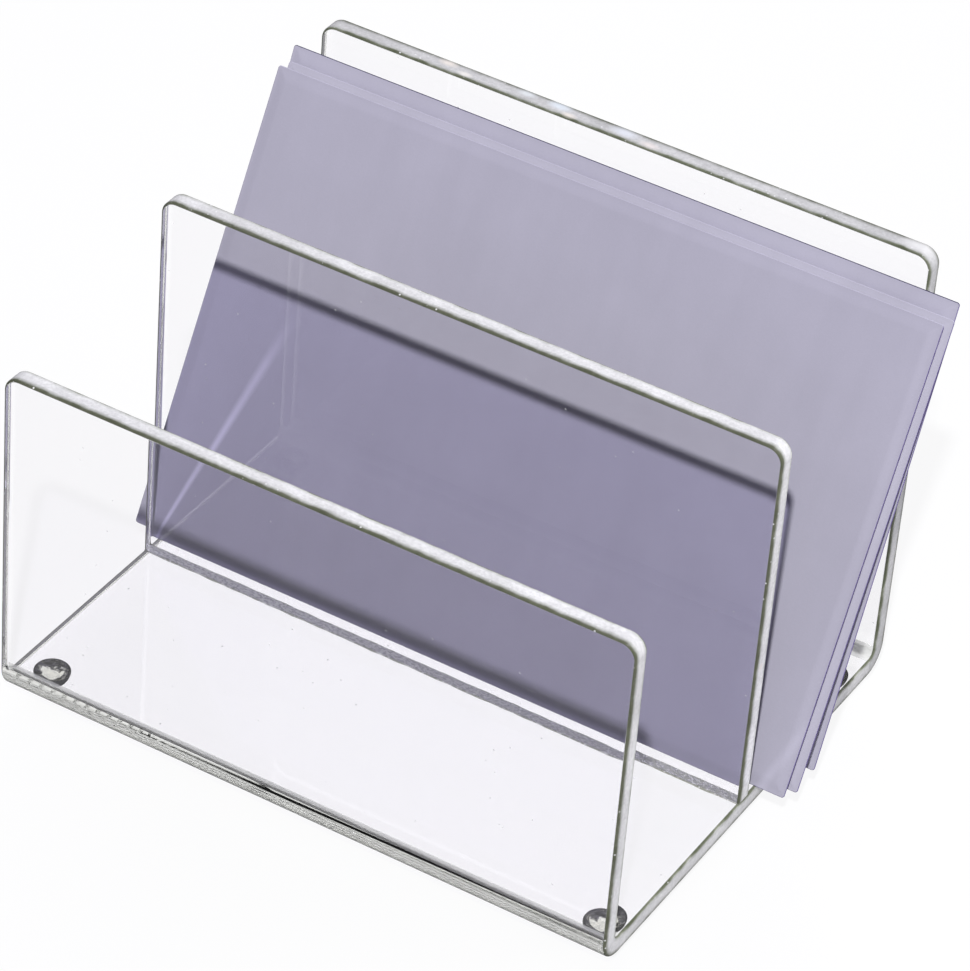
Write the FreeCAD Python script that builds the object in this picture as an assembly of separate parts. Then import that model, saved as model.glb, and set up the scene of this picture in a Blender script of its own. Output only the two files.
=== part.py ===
import FreeCAD
import Part
import math
import os

# Clear acrylic letter sorter with three envelopes in its rear compartment. All sizes are in millimetres.
# The origin lies on the desk under the middle of the sorter, +X runs along the panels to the right,
# -Y is the front and +Z is up.

# Sheet and overall sizes of the sorter
sheet_thickness = 6.0
sorter_width = 203.0
sorter_depth = 165.0
bend_inner_radius = 2.5
panel_corner_radius = 5.0
eased_edge_width = 0.5

# Heights of the panels and the divider above the underside of the sheet
front_panel_height = 113.4
divider_height = 131.5
back_panel_height = 149.0

# Divider
front_compartment_depth = 70.2
cement_film_thickness = 0.2
cement_film_inset = 0.3

# Domed feet on their adhesive pads
foot_diameter = 11.0
foot_height = 5.0
foot_land_height = 0.5
foot_tip_diameter = 3.0
foot_centre_from_side = 8.5
foot_centre_from_end = 17.0
pad_diameter = 10.0
pad_thickness = 0.15

# Envelopes
envelope_width = 222.0
envelope_height = 144.0
envelope_thickness = 1.3
envelope_corner_radius = 2.5
flap_thickness = 0.2
flap_depth = 62.0
flap_point_width = 120.0
flap_corner_radius = 12.0
resting_clearance = 0.3

# How far each envelope's lower edge is behind the divider, and how far its middle is to the right
# of the sorter's middle
back_envelope_behind = 19.8
back_envelope_offset = 1.3
middle_envelope_behind = 8.2
middle_envelope_offset = 2.0
front_envelope_behind = 3.9
front_envelope_offset = 0.0

# How closely an edge must match the place where it is picked
pick_tolerance = 0.01

# Places that follow from the sizes
bend_outer_radius = bend_inner_radius + sheet_thickness
base_bottom = foot_height + pad_thickness
base_top = base_bottom + sheet_thickness
envelope_bottom = base_top + resting_clearance
right_side = sorter_width / 2
left_side = -right_side
back_outer = sorter_depth / 2
front_outer = -back_outer
front_inner = front_outer + sheet_thickness
back_inner = back_outer - sheet_thickness
divider_front = front_inner + front_compartment_depth
divider_back = divider_front + sheet_thickness
front_top = base_bottom + front_panel_height
divider_top = base_bottom + divider_height
back_top = base_bottom + back_panel_height


def point(y, z, x=0):
    """A point of an outline that is drawn in the plane x."""
    return FreeCAD.Vector(x, y, z)


def straight(start, end):
    """A straight edge."""
    return Part.LineSegment(start, end).toShape()


def quarter_bend(corner, radius, toward_y, toward_z):
    """A quarter turn that rounds off a corner whose sides leave it along toward_y and toward_z."""
    centre = corner + FreeCAD.Vector(0, toward_y * radius, toward_z * radius)
    reach = radius * math.cos(math.radians(45))
    start = centre - FreeCAD.Vector(0, toward_y * radius, 0)
    middle = centre - FreeCAD.Vector(0, toward_y * reach, toward_z * reach)
    end = centre - FreeCAD.Vector(0, 0, toward_z * radius)
    return Part.Arc(start, middle, end).toShape(), start, end


def sharp_edges(shape):
    """The edges of a solid where two faces meet at an angle, without the tangent seams."""
    found = []
    for edge in shape.Edges:
        sides = shape.ancestorsOfType(edge, Part.Face)
        if len(sides) != 2:
            continue
        middle = edge.valueAt((edge.FirstParameter + edge.LastParameter) / 2)
        normals = [face.normalAt(*face.Surface.parameter(middle)) for face in sides]
        if abs(normals[0].dot(normals[1])) < math.cos(math.radians(30)):
            found.append(edge)
    return found


def edges_across(shape, lowest=None, highest=None):
    """The edges that run straight along Y, through a sheet, between two heights if they are given."""
    found = []
    for edge in shape.Edges:
        box = edge.BoundBox
        along_y = max(box.XLength, box.ZLength) < pick_tolerance
        low_enough = highest is None or box.ZMax < highest + pick_tolerance
        high_enough = lowest is None or box.ZMin > lowest - pick_tolerance
        if along_y and low_enough and high_enough:
            found.append(edge)
    return found


def make_outer_sheet():
    """Front panel, base and back panel, bent from one sheet, with rounded corners and eased edges."""
    outer_front = quarter_bend(point(front_outer, base_bottom), bend_outer_radius, 1, 1)
    outer_back = quarter_bend(point(back_outer, base_bottom), bend_outer_radius, -1, 1)
    inner_front = quarter_bend(point(front_inner, base_top), bend_inner_radius, 1, 1)
    inner_back = quarter_bend(point(back_inner, base_top), bend_inner_radius, -1, 1)
    outline = Part.Wire(Part.__sortEdges__([
        straight(point(front_outer, front_top), outer_front[1]),
        outer_front[0],
        straight(outer_front[2], outer_back[2]),
        outer_back[0],
        straight(outer_back[1], point(back_outer, back_top)),
        straight(point(back_outer, back_top), point(back_inner, back_top)),
        straight(point(back_inner, back_top), inner_back[1]),
        inner_back[0],
        straight(inner_back[2], inner_front[2]),
        inner_front[0],
        straight(inner_front[1], point(front_inner, front_top)),
        straight(point(front_inner, front_top), point(front_outer, front_top)),
    ]))
    sheet = Part.Face(outline).extrude(FreeCAD.Vector(sorter_width, 0, 0))
    sheet.translate(FreeCAD.Vector(left_side, 0, 0))
    for top in (front_top, back_top):
        sheet = sheet.makeFillet(panel_corner_radius, edges_across(sheet, top, top))
    return sheet.makeChamfer(eased_edge_width, sharp_edges(sheet))


def make_middle_divider():
    """The plate that stands on its cement film, square at the foot and rounded at the top."""
    foot = base_top + cement_film_thickness
    corner = point(divider_front, foot, left_side)
    plate = Part.makeBox(sorter_width, sheet_thickness, divider_top - foot, corner)
    plate = plate.makeFillet(panel_corner_radius, edges_across(plate, divider_top))
    above_foot = [edge for edge in sharp_edges(plate) if edge.BoundBox.ZMax > foot + pick_tolerance]
    return plate.makeChamfer(eased_edge_width, above_foot)


def make_divider_cement():
    """The cured film between the divider's foot and the base."""
    corner = point(divider_front + cement_film_inset, base_top, left_side + cement_film_inset)
    width = sorter_width - 2 * cement_film_inset
    return Part.makeBox(width, sheet_thickness - 2 * cement_film_inset, cement_film_thickness, corner)


def make_foot(x, y):
    """A dome turned about its axis: a short straight land at the pad, a round side and a flat tip."""
    radius = foot_diameter / 2
    tip_radius = foot_tip_diameter / 2
    land = foot_height - foot_land_height
    # The side is an arc about a point on the axis, through the edge of the land and the edge of the tip.
    centre = (land * land + radius * radius - tip_radius * tip_radius) / (2 * land)
    arc_radius = math.hypot(tip_radius, centre)
    to_tip = math.atan2(-centre, tip_radius)
    to_land = math.atan2(land - centre, radius)
    halfway = (to_tip + to_land) / 2
    middle = point(arc_radius * math.cos(halfway), centre + arc_radius * math.sin(halfway))
    profile = Part.Wire([
        straight(point(0, 0), point(tip_radius, 0)),
        Part.Arc(point(tip_radius, 0), middle, point(radius, land)).toShape(),
        straight(point(radius, land), point(radius, foot_height)),
        straight(point(radius, foot_height), point(0, foot_height)),
        straight(point(0, foot_height), point(0, 0)),
    ])
    foot = Part.Face(profile).revolve(FreeCAD.Vector(0, 0, 0), FreeCAD.Vector(0, 0, 1), 360)
    foot.translate(FreeCAD.Vector(x, y, 0))
    return foot


def make_foot_pad(x, y):
    """The adhesive disc between a foot and the base."""
    return Part.makeCylinder(pad_diameter / 2, pad_thickness, FreeCAD.Vector(x, y, foot_height))


def foot_places():
    """Name and centre of each foot."""
    x_reach = right_side - foot_centre_from_side
    y_reach = back_outer - foot_centre_from_end
    return {
        "front_left": (-x_reach, -y_reach),
        "front_right": (x_reach, -y_reach),
        "back_left": (-x_reach, y_reach),
        "back_right": (x_reach, y_reach),
    }


def lean_onto(lower_y, support_y, support_z, support_lean):
    """Lean, from upright, of an envelope whose back comes to rest on what stands behind it.

    The support is a face that leans by support_lean and ends at its upper edge (support_y, support_z).
    Either the envelope's own upper edge meets that face, or the face's upper edge meets its back.
    """
    to_edge_y = support_y - lower_y
    to_edge_z = support_z - envelope_bottom
    apart = to_edge_y * math.cos(support_lean) - to_edge_z * math.sin(support_lean)
    along = to_edge_y * math.sin(support_lean) + to_edge_z * math.cos(support_lean)
    free = apart - resting_clearance - flap_thickness
    by_own_edge = math.asin(free / envelope_height)
    by_support_edge = math.atan2(free, along)
    return support_lean + max(by_own_edge, by_support_edge)


def make_envelope(middle_x, lower_y, lean):
    """An envelope with its closed flap at the back, stood on its lower edge and leant back."""
    half = envelope_width / 2
    corner = point(-envelope_thickness, 0, -half)
    body = Part.makeBox(envelope_width, envelope_thickness, envelope_height, corner)
    body = body.makeFillet(envelope_corner_radius, edges_across(body))

    flap_end = envelope_height - flap_depth
    point_half = flap_point_width / 2
    outline = Part.makePolygon([
        point(0, envelope_height, envelope_corner_radius - half),
        point(0, envelope_height, half - envelope_corner_radius),
        point(0, flap_end, point_half),
        point(0, flap_end, -point_half),
        point(0, envelope_height, envelope_corner_radius - half),
    ])
    flap = Part.Face(outline).extrude(FreeCAD.Vector(0, flap_thickness, 0))
    flap = flap.makeFillet(flap_corner_radius, edges_across(flap, highest=flap_end))

    envelope = body.fuse(flap).removeSplitter()
    envelope.rotate(FreeCAD.Vector(0, 0, 0), FreeCAD.Vector(1, 0, 0), -math.degrees(lean))
    envelope.translate(FreeCAD.Vector(middle_x, lower_y, envelope_bottom))
    return envelope


def make_envelopes():
    """The three envelopes, from the back one to the front one, each leaning on the one behind it."""
    made = {}
    places = {
        "envelope_back": (back_envelope_behind, back_envelope_offset),
        "envelope_middle": (middle_envelope_behind, middle_envelope_offset),
        "envelope_front": (front_envelope_behind, front_envelope_offset),
    }
    support = (back_inner, back_top, 0)
    for name, (behind_divider, middle_x) in places.items():
        lower_y = divider_back + behind_divider
        lean = lean_onto(lower_y, *support)
        made[name] = make_envelope(middle_x, lower_y, lean)
        edge_y = lower_y + envelope_height * math.sin(lean) - envelope_thickness * math.cos(lean)
        edge_z = envelope_bottom + envelope_height * math.cos(lean) + envelope_thickness * math.sin(lean)
        support = (edge_y, edge_z, lean)
        print(f"{name}: leans {math.degrees(lean):.2f} degrees, upper edge at y {edge_y:.2f}, z {edge_z:.2f}")
    return made


def make_all():
    """Every piece, by the name of its node."""
    pieces = {
        "outer_sheet": make_outer_sheet(),
        "middle_divider": make_middle_divider(),
        "divider_cement": make_divider_cement(),
    }
    for corner, (x, y) in foot_places().items():
        pieces["foot_" + corner] = make_foot(x, y)
        pieces["foot_pad_" + corner] = make_foot_pad(x, y)
    pieces.update(make_envelopes())
    return pieces


os.makedirs("parts", exist_ok=True)
for node, shape in make_all().items():
    box = shape.optimalBoundingBox()
    print(f"{node}: valid {shape.isValid()}, solids {len(shape.Solids)}, volume {shape.Volume:.1f}")
    print(f"  x {box.XMin:.2f} to {box.XMax:.2f}, y {box.YMin:.2f} to {box.YMax:.2f}", end="")
    print(f", z {box.ZMin:.2f} to {box.ZMax:.2f}")
    shape.exportStep(f"parts/{node}.step")
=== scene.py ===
"""Looks of a clear acrylic letter sorter with three lavender envelopes leaning in its rear compartment.

All lengths are in metres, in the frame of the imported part: +X runs along the panels to the right, -Y is the
front, +Z is up, and the origin lies on the desk under the middle of the sorter.
"""

import logging
import math
from dataclasses import dataclass, field
from enum import Enum

import bpy
import numpy as np
from mathutils import Matrix, Vector


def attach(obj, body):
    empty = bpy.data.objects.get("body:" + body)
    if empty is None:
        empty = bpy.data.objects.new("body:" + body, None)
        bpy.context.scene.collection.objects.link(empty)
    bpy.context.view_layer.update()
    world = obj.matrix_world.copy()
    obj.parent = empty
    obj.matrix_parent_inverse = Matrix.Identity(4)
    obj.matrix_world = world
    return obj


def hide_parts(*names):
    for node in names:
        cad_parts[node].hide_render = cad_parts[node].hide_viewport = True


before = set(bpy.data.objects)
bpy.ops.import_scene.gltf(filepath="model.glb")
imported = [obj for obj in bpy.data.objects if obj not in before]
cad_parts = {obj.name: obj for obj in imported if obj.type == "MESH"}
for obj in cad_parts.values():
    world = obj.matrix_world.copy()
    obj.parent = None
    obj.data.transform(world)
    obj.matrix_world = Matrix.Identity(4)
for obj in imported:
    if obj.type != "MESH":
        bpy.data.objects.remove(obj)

log = logging.getLogger("letter_sorter")

MM = 0.001
NEARLY_ZERO = 1e-6
PHOTO_LONG_SIDE = 971

Colour = tuple[float, float, float]
Place = tuple[float, float, float]
Span = tuple[float, float]
Socket = bpy.types.NodeSocket


class Graph:
    """A small helper that adds and joins the nodes of one material or world."""

    def __init__(self, tree: bpy.types.NodeTree) -> None:
        """Empties the tree and keeps it.

        Args:
            tree: The node tree to fill.
        """
        self.tree = tree
        self.tree.nodes.clear()

    def add(self, kind: str, settings: dict[str, object] | None = None, **inputs: object) -> bpy.types.Node:
        """Adds a node and sets or joins its inputs.

        Args:
            kind: The node's type name without its "ShaderNode" start.
            settings: Properties of the node, by name.
            inputs: Input sockets by name, with underscores for spaces, or by index as i0, i1 and so on. A
                socket is joined and anything else is set.

        Returns:
            The new node.
        """
        node = self.tree.nodes.new("ShaderNode" + kind)
        for name, value in (settings or {}).items():
            setattr(node, name, value)
        for name, value in inputs.items():
            index = int(name[1:]) if name[0] == "i" and name[1:].isdigit() else name.replace("_", " ")
            socket = node.inputs[index]
            if isinstance(value, Socket):
                self.tree.links.new(value, socket)
            else:
                socket.default_value = value
        return node

    def math(self, operation: str, *values: object) -> Socket:
        """Adds a Math node.

        Args:
            operation: The operation, such as "MULTIPLY".
            values: Sockets or numbers, in the order of the inputs.

        Returns:
            The result's socket.
        """
        inputs = {f"i{place}": value for place, value in enumerate(values)}
        return self.add("Math", {"operation": operation}, **inputs).outputs[0]

    def ramp(self, value: Socket, low: float, high: float, to_low: float, to_high: float) -> Socket:
        """Maps a value from one range to another, held at both ends.

        Args:
            value: The socket to map.
            low: Start of the range that is read.
            high: End of the range that is read.
            to_low: Result at low.
            to_high: Result at high.

        Returns:
            The mapped value's socket.
        """
        node = self.add("MapRange", {"clamp": True}, Value=value, From_Min=low, From_Max=high,
                        To_Min=to_low, To_Max=to_high)
        return node.outputs["Result"]

    def bands(self, value: Socket, stops: tuple[tuple[float, Colour], ...]) -> Socket:
        """Maps a value from 0 to 1 to colours that run into each other.

        Args:
            value: The socket to map.
            stops: Places from 0 to 1 with their colours, rising.

        Returns:
            The colour's socket.
        """
        node = self.add("ValToRGB", None, Fac=value)
        elements = node.color_ramp.elements
        while len(elements) < len(stops):
            elements.new(1.0)
        for element, (place, colour) in zip(elements, stops):
            element.position = place
            element.color = (*colour, 1)
        return node.outputs["Color"]

    def mix(self, share: object, first: object, second: object, blend: str = "MIX") -> Socket:
        """Mixes two colours.

        Args:
            share: Socket or number that gives the second colour's share.
            first: Socket or colour.
            second: Socket or colour.
            blend: How they are mixed.

        Returns:
            The mixed colour's socket.
        """
        node = self.add("Mix", {"data_type": "RGBA", "blend_type": blend})
        for place, value in ((0, share), (6, first), (7, second)):
            if isinstance(value, Socket):
                self.tree.links.new(value, node.inputs[place])
            else:
                node.inputs[place].default_value = value if place == 0 else (*value, 1)
        return node.outputs[2]

    def grey(self, level: Socket) -> Socket:
        """A grey colour of the given level."""
        return self.add("CombineColor", None, Red=level, Green=level, Blue=level).outputs[0]

    def attribute(self, name: str) -> Socket:
        """The value of a point attribute of the mesh."""
        return self.add("Attribute", {"attribute_name": name}).outputs["Fac"]

    def place(self, scale: Place = (1.0, 1.0, 1.0), turn: Place = (0.0, 0.0, 0.0),
              move: Place = (0.0, 0.0, 0.0)) -> Socket:
        """The point in object coordinates, scaled, then turned, then moved.

        Args:
            scale: Factors along X, Y and Z.
            turn: Angles about X, Y and Z, in radians.
            move: Distance along X, Y and Z.

        Returns:
            The coordinate's socket.
        """
        coordinates = self.add("TexCoord").outputs["Object"]
        return self.add("Mapping", None, Vector=coordinates, Scale=scale, Rotation=turn,
                        Location=move).outputs["Vector"]

    def noise(self, place: Socket, scale: float, detail: float = 2.0, roughness: float = 0.5) -> Socket:
        """A noise texture's value.

        Args:
            place: The coordinates to read.
            scale: Bumps per metre.
            detail: Octaves.
            roughness: Weight of the finer octaves.

        Returns:
            The noise value's socket, from 0 to 1 about 0.5.
        """
        node = self.add("TexNoise", None, Vector=place, Scale=scale, Detail=detail, Roughness=roughness)
        return node.outputs["Fac"]

    def specks(self, place: Socket, per_metre: float, size: float) -> Socket:
        """Rare round specks, one in the middle of each cell, where the surface cuts it.

        Args:
            place: The coordinates to read.
            per_metre: Cells per metre.
            size: Radius of a speck as a share of its cell.

        Returns:
            One on a speck and zero off it.
        """
        cells = self.add("TexVoronoi", {"feature": "F1"}, Vector=place, Scale=per_metre, Randomness=1.0)
        return self.ramp(cells.outputs["Distance"], 0.6 * size, size, 1.0, 0.0)

    def bump(self, height: Socket, distance: float, strength: object) -> Socket:
        """A normal bent by a height.

        Args:
            height: The height, from 0 to 1.
            distance: Length that a height of 1 stands for.
            strength: Share of it that is used.

        Returns:
            The normal's socket.
        """
        return self.add("Bump", None, Height=height, Distance=distance, Strength=strength).outputs["Normal"]

    def blend(self, share: object, first: Socket, second: Socket) -> Socket:
        """Mixes two shaders.

        Args:
            share: Socket or number that gives the second shader's share.
            first: The first shader.
            second: The second shader.

        Returns:
            The mixed shader's socket.
        """
        return self.add("MixShader", None, i0=share, i1=first, i2=second).outputs[0]

    def let_light_pass(self, body: Socket, shade: object) -> Socket:
        """Lets lamps shine through a clear body: only shadow rays meet a plain tinted film instead of it.

        Args:
            body: The shader of the body.
            shade: Colour of the light that gets through one surface.

        Returns:
            The shader's socket.
        """
        film = self.add("BsdfTransparent", None, Color=shade)
        is_shadow = self.add("LightPath").outputs["Is Shadow Ray"]
        return self.blend(is_shadow, body, film.outputs[0])

    def finish(self, surface: Socket, volume: Socket | None = None) -> None:
        """Joins the result to the material output.

        Args:
            surface: The shader of the surface.
            volume: The shader of the inside, if any.
        """
        output = self.add("OutputMaterial", None, Surface=surface)
        if volume is not None:
            self.tree.links.new(volume, output.inputs["Volume"])


def new_material(name: str) -> tuple[bpy.types.Material, Graph]:
    """Makes an empty node material.

    Args:
        name: The material's name.

    Returns:
        The material and the graph of its nodes.
    """
    material = bpy.data.materials.new(name)
    material.use_nodes = True
    return material, Graph(material.node_tree)


@dataclass(frozen=True)
class Glint:
    """A painted coloured highlight on an edge, such as a prism throws.

    share is how much of the edge's own colour its tone covers at the middle.
    """

    middle: Place
    reach: float
    tone: Colour
    share: float


@dataclass(frozen=True)
class ClearAcrylic:
    """Cast acrylic: clear broad faces with a little dust, and flame-polished edges with an olive cast, which
    are painted with the light and shade that the sheet pipes to them.
    """

    refraction: float = 1.49
    face_tint: Colour = (0.93, 0.925, 0.94)
    cast: Colour = (0.30, 0.32, 0.22)
    depth_density: float = 1.4
    edge_clearness: float = 0.06
    edge_roughness: float = 0.10
    face_pass: Colour = (0.883, 0.873, 0.953)
    trapped_pass: Colour = (0.02, 0.02, 0.03)
    # Painted light and shade across an edge, from the first face to the second: dark olive shade at the
    # arrises, pale light between them.
    edge_light_and_shade: tuple[tuple[float, Colour], ...] = (
        (0.00, (0.10, 0.11, 0.07)),
        (0.09, (0.15, 0.16, 0.11)),
        (0.20, (0.56, 0.57, 0.53)),
        (0.34, (0.90, 0.90, 0.89)),
        (0.70, (0.97, 0.97, 0.96)),
        (0.86, (0.74, 0.75, 0.71)),
        (0.94, (0.25, 0.27, 0.19)),
        (1.00, (0.13, 0.15, 0.09)),
    )
    glints: tuple[Glint, ...] = (
        Glint((-60.0 * MM, 80.5 * MM, 154.1 * MM), 1.8 * MM, (1.0, 0.93, 0.84), 0.8),
        Glint((-53.0 * MM, 78.4 * MM, 154.1 * MM), 1.4 * MM, (1.0, 0.97, 0.90), 0.8),
        Glint((-33.0 * MM, 80.4 * MM, 154.1 * MM), 1.8 * MM, (0.92, 0.97, 0.98), 0.7),
        Glint((-22.0 * MM, 80.4 * MM, 154.1 * MM), 2.2 * MM, (0.86, 0.94, 1.0), 0.8),
        Glint((-17.5 * MM, 77.9 * MM, 154.1 * MM), 1.4 * MM, (1.0, 0.93, 0.84), 0.8),
        Glint((0.0 * MM, 79.8 * MM, 154.1 * MM), 2.6 * MM, (0.90, 0.94, 1.0), 0.75),
        Glint((9.0 * MM, 78.4 * MM, 154.1 * MM), 1.8 * MM, (1.0, 0.91, 0.86), 0.7),
        Glint((96.0 * MM, 80.0 * MM, 154.1 * MM), 3.4 * MM, (0.96, 0.96, 0.94), 0.8),
        Glint((101.4 * MM, -3.4 * MM, 60.0 * MM), 1.6 * MM, (1.0, 0.90, 0.80), 0.5),
    )
    glint_stretch: Place = (0.45, 1.0, 1.0)
    bond_tone: Colour = (0.62, 0.63, 0.57)
    crumb_tone: Colour = (0.86, 0.87, 0.82)
    dust_tone: Colour = (0.95, 0.95, 0.95)
    bend_axis: Span = (74.0 * MM, 13.65 * MM)
    inner_bend_reach: Span = (2.55 * MM, 2.75 * MM)
    inner_bend_cover: float = 0.6
    inner_bend_tone: Colour = (0.85, 0.86, 0.82)
    outer_bend_shell: tuple[Span, Span] = ((8.0 * MM, 8.3 * MM), (8.6 * MM, 8.8 * MM))
    outer_bend_heights: tuple[Span, Span] = ((-7.6 * MM, -6.6 * MM), (-4.2 * MM, -2.6 * MM))
    outer_bend_cover: float = 0.75
    outer_bend_tone: Colour = (0.80, 0.81, 0.76)

    def glow(self, graph: Graph, glint: Glint) -> Socket:
        """Share of a glint's colour: full near its middle and fading out at its reach.

        Distances are measured after the place is shrunk along X, so that a glint is drawn out along the edge.

        Args:
            graph: The graph to add to.
            glint: The glint.

        Returns:
            The share's socket.
        """
        middle = tuple(factor * value for factor, value in zip(self.glint_stretch, glint.middle))
        place = graph.place(self.glint_stretch)
        apart = graph.add("VectorMath", {"operation": "DISTANCE"}, i0=place, i1=middle)
        return graph.ramp(apart.outputs["Value"], 0.25 * glint.reach, glint.reach, glint.share, 0.0)

    def painted_edge_tone(self, graph: Graph, place: Socket) -> Socket:
        """Colour of the narrow edges, painted with the light and shade that the sheet pipes to them: painted
        shade, dark olive, at both arrises and painted light, pale, between them.

        The attribute gather is the painted light level along the edge. Small waves along the edge, fine grain,
        rare painted white sparkles and a few painted coloured glints break it up.

        Args:
            graph: The graph to add to.
            place: The object coordinates.

        Returns:
            The colour's socket.
        """
        sway = graph.ramp(graph.noise(place, 160.0, 2.0, 0.5), 0.3, 0.7, -0.05, 0.05)
        across = graph.math("ADD", graph.attribute("across"), sway)
        tone = graph.bands(across, self.edge_light_and_shade)
        patch = graph.ramp(graph.noise(place, 70.0, 4.0, 0.6), 0.3, 0.7, 0.84, 1.10)
        grain = graph.ramp(graph.noise(place, 1100.0, 3.0, 0.6), 0.3, 0.7, 0.88, 1.10)
        level = graph.math("MULTIPLY", graph.math("MULTIPLY", patch, grain), graph.attribute("gather"))
        tone = graph.mix(1.0, tone, graph.grey(level), "MULTIPLY")
        # Painted coloured highlights where the edges glint.
        for glint in self.glints:
            tone = graph.mix(self.glow(graph, glint), tone, glint.tone)
        # Painted white sparkles: rare highlights along the edges.
        painted_sparkle = graph.math("MULTIPLY", graph.specks(place, 420.0, 0.15),
                          graph.ramp(graph.noise(place, 55.0, 1.0), 0.50, 0.60, 0.0, 0.8))
        return graph.mix(painted_sparkle, tone, (1.0, 1.0, 1.0))

    def bend_lines(self, graph: Graph, place: Socket) -> tuple[Socket, Socket]:
        """Painted grey lines along a bend, which stand for the light trapped in it.

        The distance from the bend's axis tells its inside from its outside. The inner line covers the inside
        of the bend, and the outer one a strip between two heights on its outside. Noise drawn out along the
        bend breaks both up.

        Args:
            graph: The graph to add to.
            place: The object coordinates.

        Returns:
            How much of the surface the inner and the outer line cover.
        """
        split = graph.add("SeparateXYZ", None, Vector=place)
        out = graph.math("SUBTRACT", graph.math("ABSOLUTE", split.outputs["Y"]), self.bend_axis[0])
        up = graph.math("SUBTRACT", split.outputs["Z"], self.bend_axis[1])
        apart = graph.math("SQRT", graph.math("ADD", graph.math("MULTIPLY", out, out),
                                              graph.math("MULTIPLY", up, up)))
        drawn = graph.noise(graph.place((1.0, 6.0, 6.0)), 60.0, 4.0, 0.7)
        streaky = graph.ramp(drawn, 0.32, 0.68, 0.55, 1.0)
        inside = graph.ramp(apart, *self.inner_bend_reach, self.inner_bend_cover, 0.0)
        bottom, top = self.outer_bend_heights
        strip = graph.math("MULTIPLY", graph.ramp(up, *bottom, 0.0, 1.0),
                           graph.ramp(up, *top, self.outer_bend_cover, 0.0))
        near, far = self.outer_bend_shell
        outer = graph.math("MULTIPLY", strip, graph.ramp(apart, *near, 0.0, 1.0))
        outer = graph.math("MULTIPLY", graph.math("MULTIPLY", outer, streaky),
                           graph.ramp(apart, *far, 1.0, 0.0))
        return graph.math("MULTIPLY", inside, streaky), outer

    def material(self) -> bpy.types.Material:
        """Builds the material.

        The point attribute edge is 1 on the narrow edges, across runs from 0 at one broad face to 1 at the
        other, trapped is 1 where light that enters stays in the sheet and so casts the dark line of a clear
        panel's edge, and bond is 1 on the cemented foot. Seen from inside the sheet an edge is clear.

        Returns:
            The finished material.
        """
        material, graph = new_material("clear_acrylic")
        place = graph.place()
        bond = graph.attribute("bond")
        outside = graph.math("SUBTRACT", 1.0, graph.add("NewGeometry").outputs["Backfacing"])
        edge = graph.math("MULTIPLY", graph.attribute("edge"), outside)
        dust = graph.math("MULTIPLY", graph.specks(place, 130.0, 0.042), 0.5)
        face = graph.mix(dust, self.face_tint, self.dust_tone)
        colour = graph.mix(edge, face, self.painted_edge_tone(graph, place))
        crumbs = graph.noise(place, 700.0, 3.0, 0.6)
        cement = graph.mix(graph.ramp(crumbs, 0.42, 0.62, 0.0, 1.0), self.bond_tone, self.crumb_tone)
        # The cemented foot is darker towards its right end.
        cement = graph.mix(1.0, cement, graph.grey(graph.attribute("gather")), "MULTIPLY")
        colour = graph.mix(bond, colour, cement)
        face_share = graph.math("SUBTRACT", 1.0, graph.attribute("edge"))
        inner, outer = (graph.math("MULTIPLY", share, face_share) for share in self.bend_lines(graph, place))
        # Painted light: lines of trapped light along the bends.
        colour = graph.mix(graph.ramp(inner, 0.0, 0.3, 0.0, 1.0), colour, self.inner_bend_tone)
        colour = graph.mix(graph.ramp(outer, 0.0, 0.3, 0.0, 1.0), colour, self.outer_bend_tone)
        solid = graph.math("ADD", graph.math("MULTIPLY", edge, 1 - self.edge_clearness), dust)
        solid = graph.math("MAXIMUM", solid,
                           graph.math("MULTIPLY", bond, graph.ramp(crumbs, 0.44, 0.56, 0.85, 0.20)))
        solid = graph.math("MAXIMUM", solid, graph.math("MAXIMUM", inner, outer))
        clear = graph.math("SUBTRACT", 1.0, solid)
        rough = graph.math("MULTIPLY", graph.math("MAXIMUM", edge, graph.math("MULTIPLY", bond, 4.0)),
                           self.edge_roughness)
        waver = graph.noise(place, 240.0, 3.0, 0.55)
        body = graph.add("BsdfPrincipled", None, Base_Color=colour, Roughness=rough, IOR=self.refraction,
                         Transmission_Weight=clear,
                         Normal=graph.bump(waver, 0.5 * MM, graph.math("MULTIPLY", edge, 0.12)))
        shade = graph.mix(graph.ramp(graph.attribute("trapped"), 0.27, 0.39, 0.0, 1.0), self.face_pass,
                          self.trapped_pass)
        depth = graph.add("VolumeAbsorption", None, Color=(*self.cast, 1), Density=self.depth_density)
        graph.finish(graph.let_light_pass(body.outputs[0], shade), depth.outputs[0])
        return material


@dataclass(frozen=True)
class CuredCement:
    """The thin solvent cement under the divider: olive-grey, with small bubbles trapped in it."""

    tone: Colour = (0.36, 0.37, 0.31)
    bubble_tone: Colour = (0.90, 0.90, 0.88)
    light_pass: Colour = (0.90, 0.91, 0.88)

    def material(self) -> bpy.types.Material:
        """Builds the material.

        Returns:
            The finished material.
        """
        material, graph = new_material("cured_cement")
        place = graph.place()
        bubble = graph.specks(place, 900.0, 0.34)
        cloud = graph.noise(place, 260.0, 4.0, 0.6)
        tone = graph.mix(graph.ramp(cloud, 0.52, 0.68, 0.0, 0.8), self.tone, self.bubble_tone)
        tone = graph.mix(bubble, tone, self.bubble_tone)
        film = graph.add("BsdfPrincipled", None, Base_Color=tone, Roughness=0.25, IOR=1.48)
        clear = graph.add("BsdfTransparent", None, Color=(*self.light_pass, 1))
        haze = graph.ramp(cloud, 0.35, 0.65, 0.45, 0.95)
        graph.finish(graph.blend(haze, clear.outputs[0], film.outputs[0]))
        return material


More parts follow.
